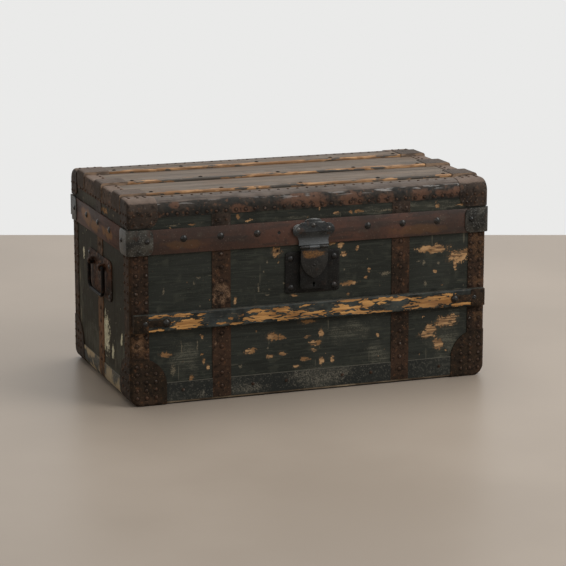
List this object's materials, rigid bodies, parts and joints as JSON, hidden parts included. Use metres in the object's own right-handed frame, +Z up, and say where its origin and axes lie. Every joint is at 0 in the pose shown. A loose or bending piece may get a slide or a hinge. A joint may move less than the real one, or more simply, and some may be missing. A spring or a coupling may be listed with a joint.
{
  "type": "travelling trunk",
  "caption": "Flat-topped board trunk with metal corner bindings, slats, hinged lid, hasp lock and swinging end handles.",
  "frame": {"origin": "on the floor under the middle of the trunk", "axes": "+X along the front to the right, -Y the front with the lock, +Z up"},
  "size_m": [0.7412, 0.431, 0.3905],
  "materials": {
    "painted_board": "old dark paint, chipped",
    "bare_board": "bare pine",
    "lid_board": "dusty worn paint",
    "slat_wood": "worn through to bare wood",
    "rim_band": "red brown paint",
    "binding_tin": "rusty tinned sheet",
    "black_steel": "worn black steel",
    "worn_steel": "rusty steel"
  },
  "bodies": {
    "case": {"back_bands": "binding_tin", "back_board": "painted_board", "back_slat": "slat_wood", "bottom_bands_end": "binding_tin", "bottom_bands_long": "binding_tin", "bottom_board": "bare_board", "bottom_cap_back_left": "binding_tin", "bottom_cap_back_right": "binding_tin", "bottom_cap_front_left": "binding_tin", "bottom_cap_front_right": "binding_tin", "corner_binding_back_left": "binding_tin", "corner_binding_back_right": "binding_tin", "corner_binding_front_left": "binding_tin", "corner_binding_front_right": "binding_tin", "end_bands": "binding_tin", "front_bands": "binding_tin", "front_board": "painted_board", "front_slat": "slat_wood", "handle_loops": "worn_steel", "handle_plates": "worn_steel", "hinge_lower_leaves": "worn_steel", "hinge_pins": "worn_steel", "left_end_board": "painted_board", "lock_case": "black_steel", "lock_plate": "black_steel", "right_end_board": "painted_board", "slat_caps": "black_steel", "slat_studs": "black_steel"},
    "lid": {"hasp_pin": "black_steel", "hasp_plate": "black_steel", "hinge_upper_leaves": "worn_steel", "lid_back_rail": "painted_board", "lid_binding_back": "binding_tin", "lid_binding_front": "binding_tin", "lid_bindings_end": "binding_tin", "lid_cap_back_left": "binding_tin", "lid_cap_back_right": "binding_tin", "lid_cap_front_left": "binding_tin", "lid_cap_front_right": "binding_tin", "lid_front_rail": "painted_board", "lid_left_end": "painted_board", "lid_right_end": "painted_board", "lid_slat_back": "slat_wood", "lid_slat_clamps": "binding_tin", "lid_slat_front": "slat_wood", "lid_slat_middle": "slat_wood", "lid_slat_nails": "black_steel", "lid_tabs": "binding_tin", "lid_top_panel": "lid_board", "rim_band_back": "rim_band", "rim_band_front": "rim_band", "rim_band_left": "rim_band", "rim_band_right": "rim_band", "rim_clamps_back": "black_steel", "rim_clamps_front": "black_steel", "rim_nails": "black_steel"},
    "hasp_leaf": {"hasp_leaf": "black_steel"},
    "bail_left": {"bail_left": "worn_steel"},
    "bail_right": {"bail_right": "worn_steel"},
    "lock_bolt": {"lock_bolt": "worn_steel"}
  },
  "joints": [
    {"name": "lid_hinge", "type": "hinge", "parent": "case", "child": "lid", "pos_m": [0, 0.2085, 0.29225], "axis": [-1, 0, 0], "range_deg": [0, 100]},
    {"name": "hasp_hinge", "type": "hinge", "parent": "lid", "child": "hasp_leaf", "pos_m": [0, -0.21115, 0.28], "axis": [-1, 0, 0], "range_deg": [0, 120]},
    {"name": "left_bail_hinge", "type": "hinge", "parent": "case", "child": "bail_left", "pos_m": [-0.364, 0, 0.232], "axis": [0, 1, 0], "range_deg": [0, 100]},
    {"name": "right_bail_hinge", "type": "hinge", "parent": "case", "child": "bail_right", "pos_m": [0.364, 0, 0.232], "axis": [0, -1, 0], "range_deg": [0, 100]},
    {"name": "bolt_slide", "type": "slide", "parent": "case", "child": "lock_bolt", "axis": [-1, 0, 0], "range_m": [0, 0.009]}
  ]
}
